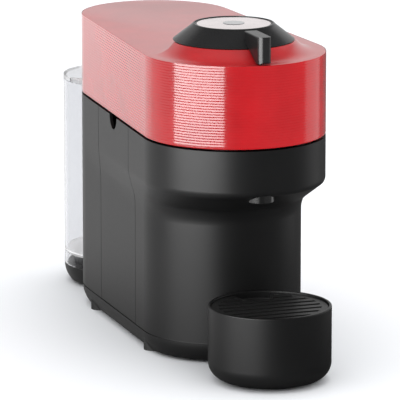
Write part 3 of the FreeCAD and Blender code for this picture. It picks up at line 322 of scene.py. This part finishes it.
def sweep_rings(shape, rings):
    """Quads between one ring of points and the next; gives the rings of vertices."""
    made = [[shape.verts.new(point) for point in ring] for ring in rings]
    for low, high in zip(made, made[1:]):
        count = len(low)
        for index in range(count):
            after = (index + 1) % count
            shape.faces.new((low[index], low[after], high[after], high[index]))
    return made


def quarter(radius, steps):
    """Steps along a quarter turn, as the parts of a radius that lie across and up."""
    angles = [math.radians(90 * step / steps) for step in range(steps + 1)]
    return [(radius * math.cos(angle), radius * math.sin(angle)) for angle in angles]


def collar_profile():
    """Collar from the head's flat top up its hollow and in to the bush, as radius and height."""
    slope = math.atan2(COLLAR_HEIGHT, COLLAR_LEAN)
    middle = COLLAR_RADIUS + COLLAR_LEAN + COLLAR_ROUND * math.tan(slope / 2)
    profile = []
    for step in range(COLLAR_STEPS + 1):
        turn = slope * step / COLLAR_STEPS
        across, up = COLLAR_ROUND * math.sin(turn), COLLAR_ROUND * (1 - math.cos(turn))
        profile.append((middle - across, HEAD_TOP + up))
    profile += [(COLLAR_RADIUS, COLLAR_TOP), (BUSH_RADIUS, COLLAR_TOP), (BUSH_RADIUS, COLLAR_TOP - WALL)]
    return profile


def collar_rings(like):
    """Rings of the collar, with as many points as another ring has."""
    angles = [math.atan2(point.y - LEVER_Y, point.x) for point in like]
    rings = []
    for radius, z in collar_profile():
        ring = []
        for turn in angles:
            ring.append(Vector((radius * math.cos(turn), LEVER_Y + radius * math.sin(turn), z)))
        rings.append(ring)
    return rings


def wall_profile():
    """Head's wall from its inner lip, round the lower edge, up behind the ribs and round the top edge."""
    profile = [(WALL + RIB_DEPTH, HEAD_LOW + LIP), (WALL + RIB_DEPTH, HEAD_LOW)]
    for across, up in reversed(quarter(LOW_ROUND, LOW_STEPS)):
        profile.append((LOW_ROUND - across, HEAD_LOW + LOW_ROUND - up))
    profile += [(0, RIB_LOW), (RIB_DEPTH, RIB_LOW)]
    for across, up in quarter(TOP_ROUND, TOP_STEPS):
        profile.append((RIB_DEPTH + TOP_ROUND - across, HEAD_TOP - TOP_ROUND + up))
    return profile


def head_wall():
    """Wall, top and collar of the head as one skin with its thickness at the lower edge."""
    shape = bmesh.new()
    rings = [head_outline(inset, z) for inset, z in wall_profile()]
    rings += collar_rings(rings[-1])
    sweep_rings(shape, rings)
    bmesh.ops.recalc_face_normals(shape, faces=shape.faces)
    mesh = bpy.data.meshes.new("head_wall")
    shape.to_mesh(mesh)
    shape.free()
    return mesh


def socket(group, name, kind, side="INPUT"):
    """Named socket of a node group."""
    return group.interface.new_socket(name=name, in_out=side, socket_type=kind)


def scaled(group, source, factor):
    """A value multiplied by a constant."""
    node = group.nodes.new("ShaderNodeMath")
    node.operation = "MULTIPLY"
    node.inputs[1].default_value = factor
    group.links.new(source, node.inputs[0])
    return node.outputs["Value"]


def point(group, axis, value):
    """Point on one axis."""
    node = group.nodes.new("ShaderNodeCombineXYZ")
    group.links.new(value, node.inputs[axis])
    return node.outputs["Vector"]


def rib_nodes(material):
    """Node group that stacks low rounded ribs round a closed outline."""
    group = bpy.data.node_groups.new("rib_stack", "GeometryNodeTree")
    names = {}
    socket(group, "Geometry", "NodeSocketGeometry")
    names["Count"] = socket(group, "Count", "NodeSocketInt").identifier
    for name in ("Pitch", "Bulge"):
        names[name] = socket(group, name, "NodeSocketFloat").identifier
    socket(group, "Geometry", "NodeSocketGeometry", "OUTPUT")
    add = group.nodes.new
    join = group.links.new
    source = add("NodeGroupInput")
    result = add("NodeGroupOutput")
    curve = add("GeometryNodeMeshToCurve")
    join(source.outputs["Geometry"], curve.inputs["Mesh"])
    normal = add("GeometryNodeSetCurveNormal")
    normal.mode = "Z_UP"
    join(curve.outputs["Curve"], normal.inputs["Curve"])
    section = add("GeometryNodeCurveArc")
    section.mode = "POINTS"
    section.inputs["Resolution"].default_value = RIB_POINTS
    join(point(group, "Y", scaled(group, source.outputs["Pitch"], -0.5)), section.inputs["Start"])
    join(point(group, "X", source.outputs["Bulge"]), section.inputs["Middle"])
    join(point(group, "Y", scaled(group, source.outputs["Pitch"], 0.5)), section.inputs["End"])
    rib = add("GeometryNodeCurveToMesh")
    join(normal.outputs["Curve"], rib.inputs["Curve"])
    join(section.outputs["Curve"], rib.inputs["Profile Curve"])
    line = add("GeometryNodeMeshLine")
    join(source.outputs["Count"], line.inputs["Count"])
    join(point(group, "Z", source.outputs["Pitch"]), line.inputs["Offset"])
    copies = add("GeometryNodeInstanceOnPoints")
    join(line.outputs["Mesh"], copies.inputs["Points"])
    join(rib.outputs["Mesh"], copies.inputs["Instance"])
    real = add("GeometryNodeRealizeInstances")
    join(copies.outputs["Instances"], real.inputs["Geometry"])
    paint = add("GeometryNodeSetMaterial")
    paint.inputs["Material"].default_value = material
    join(real.outputs["Geometry"], paint.inputs["Geometry"])
    join(paint.outputs["Geometry"], result.inputs["Geometry"])
    return group, names


def evaluated(piece, name):
    """Plain mesh of a piece with its modifiers applied."""
    view = bpy.context.evaluated_depsgraph_get()
    mesh = bpy.data.meshes.new_from_object(piece.evaluated_get(view))
    mesh.name = name
    bpy.data.objects.remove(piece)
    return mesh


def rib_mesh():
    """All ribs of the head as one mesh."""
    outline = head_outline(RIB_BULGE, RIB_LOW + RIB_PITCH / 2)
    count = len(outline)
    mesh = bpy.data.meshes.new("rib_outline")
    mesh.from_pydata(outline, [(index, (index + 1) % count) for index in range(count)], [])
    piece = link(mesh, "rib_outline")
    group, names = rib_nodes(RED)
    ribs = piece.modifiers.new("ribs", "NODES")
    ribs.node_group = group
    ribs[names["Count"]] = RIB_COUNT
    ribs[names["Pitch"]] = RIB_PITCH
    ribs[names["Bulge"]] = RIB_BULGE
    return evaluated(piece, "rib_mesh")


def merged(meshes, name):
    """Several meshes as one."""
    shape = bmesh.new()
    for mesh in meshes:
        shape.from_mesh(mesh)
    result = bpy.data.meshes.new(name)
    shape.to_mesh(result)
    shape.free()
    return result


def reaches(face, low, high):
    """Whether a face's own box meets another box."""
    for axis in range(3):
        places = [corner.co[axis] for corner in face.verts]
        if max(places) < low[axis] or min(places) > high[axis]:
            return False
    return True


def cut_along(shape, low, high):
    """Cuts the faces that meet a box along its sides and its top."""
    for place, normal in ((low, (1, 0, 0)), (high, (1, 0, 0)), (high, (0, 0, 1))):
        near = [face for face in shape.faces if reaches(face, low, high)]
        edges = {edge for face in near for edge in face.edges}
        corners = {corner for face in near for corner in face.verts}
        bmesh.ops.bisect_plane(shape, geom=[*corners, *edges, *near], plane_co=place, plane_no=normal)


def drop_inside(mesh, low, high):
    """Cuts a box out of a skin."""
    shape = bmesh.new()
    shape.from_mesh(mesh)
    cut_along(shape, low, high)
    gone = []
    for face in shape.faces:
        middle = face.calc_center_median()
        if all(a < part < b for a, part, b in zip(low, middle, high)):
            gone.append(face)
    bmesh.ops.delete(shape, geom=gone, context="FACES")
    shape.to_mesh(mesh)
    shape.free()


def head_cover():
    """Glossy ribbed cover of the head."""
    mesh = merged([head_wall(), rib_mesh()], "head_cover")
    rear_y = HINGE_Y + REAR_RADIUS
    drop_inside(mesh, (-SLOT_HALF, HINGE_Y, 0), (SLOT_HALF, rear_y, HINGE_Z + SLOT_RISE))
    mesh.materials.clear()
    mesh.materials.append(RED)
    mesh.materials.append(RED_SATIN_PAINTED_SHADE)
    # Faces on the flat top and collar take the satin red, which carries painted shade
    for face in mesh.polygons:
        face.material_index = 1 if face.center.z > HEAD_TOP - TOP_ROUND / 2 else 0
    mesh.polygons.foreach_set("use_smooth", [True] * len(mesh.polygons))
    mesh.set_sharp_from_angle(angle=math.radians(SHARP_ANGLE))
    piece = link(mesh, "head_cover")
    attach(piece, "head")
    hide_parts("head_shell")


def coil_nodes(material):
    """Node group that winds a round wire into a coil."""
    group = bpy.data.node_groups.new("coil", "GeometryNodeTree")
    names = {}
    socket(group, "Geometry", "NodeSocketGeometry")
    for name in ("Turns", "Radius", "Height", "Wire"):
        names[name] = socket(group, name, "NodeSocketFloat").identifier
    socket(group, "Geometry", "NodeSocketGeometry", "OUTPUT")
    add = group.nodes.new
    join = group.links.new
    source = add("NodeGroupInput")
    result = add("NodeGroupOutput")
    spiral = add("GeometryNodeCurveSpiral")
    spiral.inputs["Resolution"].default_value = SPRING_STEPS
    join(source.outputs["Turns"], spiral.inputs["Rotations"])
    join(source.outputs["Radius"], spiral.inputs["Start Radius"])
    join(source.outputs["Radius"], spiral.inputs["End Radius"])
    join(source.outputs["Height"], spiral.inputs["Height"])
    wire = add("GeometryNodeCurvePrimitiveCircle")
    wire.inputs["Resolution"].default_value = WIRE_SIDES
    join(source.outputs["Wire"], wire.inputs["Radius"])
    body = add("GeometryNodeCurveToMesh")
    body.inputs["Fill Caps"].default_value = True
    join(spiral.outputs["Curve"], body.inputs["Curve"])
    join(wire.outputs["Curve"], body.inputs["Profile Curve"])
    real = add("GeometryNodeRealizeInstances")
    join(body.outputs["Mesh"], real.inputs["Geometry"])
    paint = add("GeometryNodeSetMaterial")
    paint.inputs["Material"].default_value = material
    join(real.outputs["Geometry"], paint.inputs["Geometry"])
    join(paint.outputs["Geometry"], result.inputs["Geometry"])
    return group, names


def button_coil():
    """Coil spring under the button."""
    low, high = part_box("button_spring")
    tall = high[2] - low[2]
    piece = link(bpy.data.meshes.new("coil_seed"), "coil_seed")
    group, names = coil_nodes(STEEL)
    coil = piece.modifiers.new("coil", "NODES")
    coil.node_group = group
    coil[names["Turns"]] = SPRING_TURNS
    coil[names["Radius"]] = (high[0] - low[0]) / 2 - SPRING_WIRE
    coil[names["Height"]] = tall - 2 * SPRING_WIRE
    coil[names["Wire"]] = SPRING_WIRE
    mesh = evaluated(piece, "button_coil")
    mesh.transform(Matrix.Translation((0, LEVER_Y, low[2] + SPRING_WIRE)))
    mesh.polygons.foreach_set("use_smooth", [True] * len(mesh.polygons))
    piece = link(mesh, "button_coil")
    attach(piece, "head")
    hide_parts("button_spring")
    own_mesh(piece)


head_cover()
button_coil()


# Camera at the photograph's angle

def aim(location, forward):
    """Upright camera that looks along forward."""
    ahead = forward.normalized()
    right = ahead.cross(Vector((0, 0, 1))).normalized()
    up = right.cross(ahead)
    turn = Matrix((right, up, -ahead)).transposed().to_4x4()
    return Matrix.Translation(location) @ turn


VIEW = Vector((0.3344, 0.9187, -0.2103)).normalized()
CAMERA_DISTANCE = 3.00586
FOCAL_PIXELS = 4069.11
FRAME_PIXELS = 400
AXIS_PIXEL = (233.35, 189.35)
SENSOR_WIDTH = 36.0
CLIP_END = 60.0
TARGET_HEIGHT = 0.125
target = Vector((0, LEVER_Y, TARGET_HEIGHT))
side = VIEW.cross(Vector((0, 0, 1))).normalized()
above = side.cross(VIEW)
half_frame = FRAME_PIXELS / 2
look = (VIEW + side * ((half_frame - AXIS_PIXEL[0]) / FOCAL_PIXELS)
        - above * ((half_frame - AXIS_PIXEL[1]) / FOCAL_PIXELS))
lens = bpy.data.cameras.new("photo_camera")
lens.sensor_width = SENSOR_WIDTH
lens.lens = SENSOR_WIDTH * FOCAL_PIXELS / FRAME_PIXELS
lens.clip_end = CLIP_END
camera = bpy.data.objects.new("photo_camera", lens)
bpy.context.scene.collection.objects.link(camera)
camera.matrix_world = aim(target - VIEW * CAMERA_DISTANCE, look)
bpy.context.scene.camera = camera


# Floor, surroundings and light

def floor_glimpse(tree):
    """Shader for the floor as reflections see it: pale to the left and behind, dull in front."""
    place = tree.nodes.new("ShaderNodeTexCoord")
    along = tree.nodes.new("ShaderNodeVectorMath")
    along.operation = "DOT_PRODUCT"
    along.inputs[1].default_value = PALE_SIDE
    tree.links.new(place.outputs["Object"], along.inputs[0])
    left = spread(tree, along.outputs["Value"], 0.0, 1.0, *PALE_REACH)
    right = spread(tree, along_axis(tree, "X"), 0.0, RIGHT_SHARE, *RIGHT_REACH)
    share = larger(tree, left, right)
    tone = tree.nodes.new("ShaderNodeValToRGB")
    tone.color_ramp.elements[0].color = (*FLOOR_DULL, 1)
    tone.color_ramp.elements[1].color = (*FLOOR_PALE, 1)
    tree.links.new(share, tone.inputs["Fac"])
    dull = tree.nodes.new("ShaderNodeBsdfDiffuse")
    tree.links.new(tone.outputs["Color"], dull.inputs["Color"])
    return dull.outputs["BSDF"]


def reflection_only(tree):
    """One for rays that were reflected, zero for those seen directly or through clear plastic."""
    path = tree.nodes.new("ShaderNodeLightPath")
    share = tree.nodes.new("ShaderNodeMath")
    share.operation = "SUBTRACT"
    share.use_clamp = True
    tree.links.new(path.outputs["Is Glossy Ray"], share.inputs[0])
    tree.links.new(path.outputs["Is Transmission Ray"], share.inputs[1])
    return share.outputs["Value"]


def floor():
    """Wide white floor that takes soft, faintly blue shadows."""
    mesh = bpy.data.meshes.new("floor")
    half = FLOOR_HALF
    corners = [(-half, -half, 0), (half, -half, 0), (half, half, 0), (-half, half, 0)]
    mesh.from_pydata(corners, [], [(0, 1, 2, 3)])
    piece = link(mesh, "floor")
    material, tree, shader = new_material("floor_white")
    shader.inputs["Base Color"].default_value = (*FLOOR_WHITE, 1)
    shader.inputs["Roughness"].default_value = FLOOR_ROUGHNESS
    shader.inputs["Specular IOR Level"].default_value = 0.0
    mix = tree.nodes.new("ShaderNodeMixShader")
    tree.links.new(reflection_only(tree), mix.inputs["Fac"])
    tree.links.new(shader.outputs["BSDF"], mix.inputs[1])
    tree.links.new(floor_glimpse(tree), mix.inputs[2])
    tree.links.new(mix.outputs["Shader"], tree.nodes["Material Output"].inputs["Surface"])
    mesh.materials.append(material)


def softbox(name, place, aim_at, size, radiance, reflected):
    """Rectangular studio light: either one that shows in reflections or one that lights softly."""
    light = bpy.data.lights.new(name, "AREA")
    light.shape = "RECTANGLE"
    light.size, light.size_y = size
    light.energy = radiance * math.pi * size[0] * size[1]
    lamp = bpy.data.objects.new(name, light)
    bpy.context.scene.collection.objects.link(lamp)
    here = Vector(place)
    lamp.matrix_world = aim(here, Vector(aim_at) - here)
    lamp.visible_camera = False
    lamp.visible_transmission = False
    lamp.visible_diffuse = not reflected
    lamp.visible_glossy = reflected


def card(name, start, end, away, height, radiance):
    """Upright bright card on the floor, between two bearings from the front towards the left."""
    middle, half = math.radians((start + end) / 2), math.radians((end - start) / 2)
    place = (-away * math.sin(middle), LEVER_Y - away * math.cos(middle), height / 2)
    width = 2 * away * math.tan(half)
    softbox(name, place, (0, LEVER_Y, height / 2), (width, height), radiance, True)


def chosen(tree, share, value, otherwise):
    """One value for the rays that share picks out and another socket's value for the rest."""
    node = tree.nodes.new("ShaderNodeMix")
    tree.links.new(share, node.inputs["Factor"])
    tree.links.new(otherwise, node.inputs["A"])
    node.inputs["B"].default_value = value
    return node.outputs["Result"]


def world():
    """White surroundings for the camera, soft ones for light and dim ones for reflections."""
    surroundings = bpy.data.worlds.new("studio")
    bpy.context.scene.world = surroundings
    surroundings.use_nodes = True
    tree = surroundings.node_tree
    back = tree.nodes["Background"]
    back.inputs["Color"].default_value = (1, 1, 1, 1)
    path = tree.nodes.new("ShaderNodeLightPath")
    strength = spread(tree, path.outputs["Is Glossy Ray"], SKY_LIGHT, SKY_REFLECTED, 0.0, 1.0)
    for ray in ("Is Transmission Ray", "Is Camera Ray"):
        strength = chosen(tree, path.outputs[ray], SKY_SEEN, strength)
    tree.links.new(strength, back.inputs["Strength"])


SKY_LIGHT = 1.05
SKY_REFLECTED = 0.05
SKY_SEEN = 1.0
FLOOR_HALF = 14.0
FLOOR_WHITE = (0.92, 0.935, 0.96)
FLOOR_ROUGHNESS = 0.9
FLOOR_DULL = (0.03, 0.03, 0.03)
FLOOR_PALE = (0.66, 0.66, 0.66)
PALE_SIDE = (-0.86, 0.5, 0)
PALE_REACH = (-0.17, 0.24)
RIGHT_SHARE = 0.15
RIGHT_REACH = (0.07, 0.25)
MIDDLE = (0, -0.05, 0.2)
floor()
world()
softbox("softbox_top", place=(0.1, 0.1, 2.4), aim_at=MIDDLE, size=(2.0, 2.0), radiance=1.5, reflected=False)
card("card_left", start=31, end=95.5, away=0.75, height=0.5, radiance=7.8)
card("card_right", start=-107, end=-75, away=0.45, height=0.6, radiance=0.55)
card("card_rear_left", start=140, end=184, away=1.5, height=1.4, radiance=0.5)
card("card_rear", start=184, end=236, away=2.6, height=1.9, radiance=0.74)

bpy.context.scene.view_settings.view_transform = "Standard"
